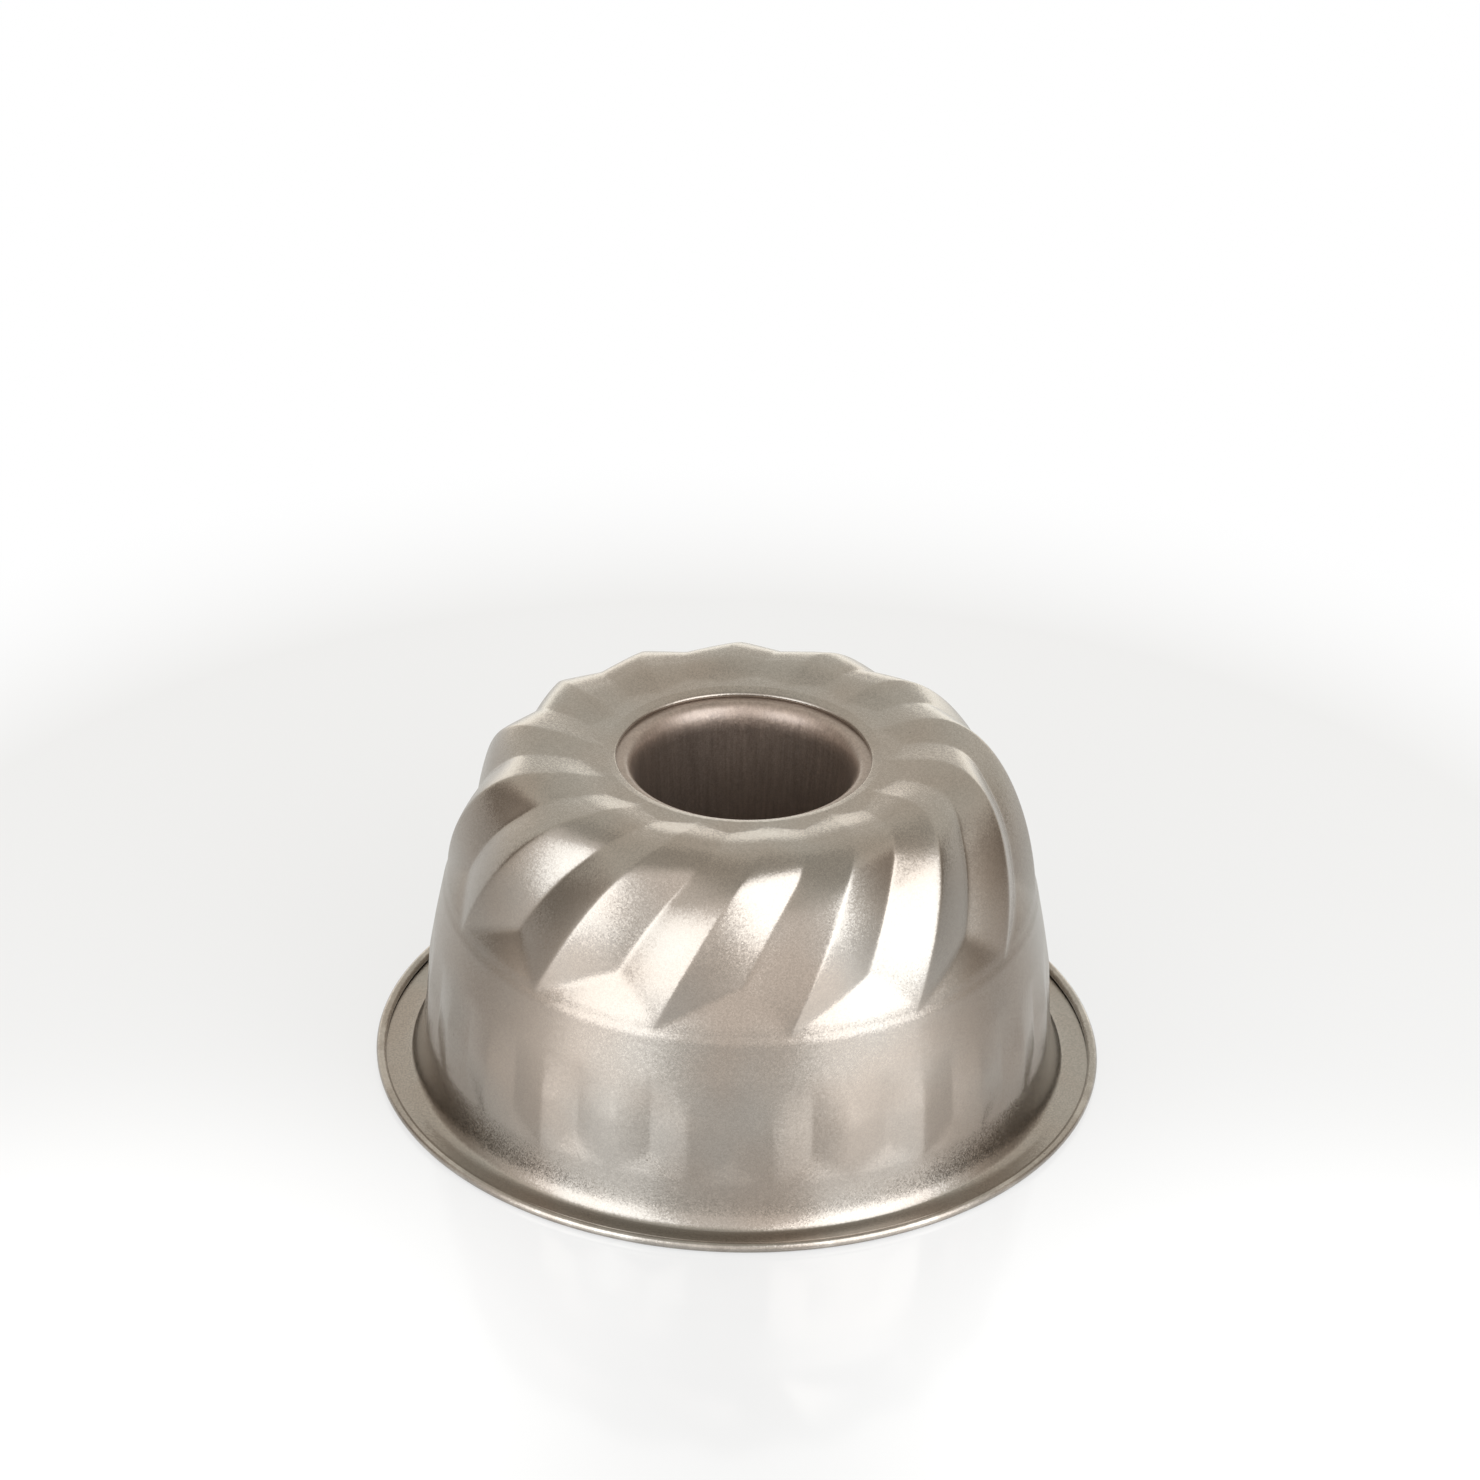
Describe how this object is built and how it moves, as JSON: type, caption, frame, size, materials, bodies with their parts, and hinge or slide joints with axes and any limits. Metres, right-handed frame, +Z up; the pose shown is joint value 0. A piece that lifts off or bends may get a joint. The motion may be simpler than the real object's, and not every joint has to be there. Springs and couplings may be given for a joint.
{
  "type": "fluted tube pan",
  "caption": "Fluted ring-cake pan of thin coated steel with a swirled dome, upright wall flutes, a rolled rim and an open centre tube, shown standing upside down",
  "frame": {"origin": "on the pan's axis, in the plane that the rim stands on, with the pan upside down as in the picture", "axes": "+Z up along the pan's axis, from the rim to the crest; -Y is the side that faces the picture's camera, +X its right"},
  "size_m": [0.24, 0.24, 0.1153],
  "materials": {
    "body_coating": "satin champagne-coloured non-stick coating with fine metallic flake",
    "tube_coating": "satin champagne-coloured non-stick coating, a little duller inside the tube"
  },
  "bodies": {
    "root": {"fluted_body": "body_coating", "centre_tube": "tube_coating"}
  },
  "joints": []
}
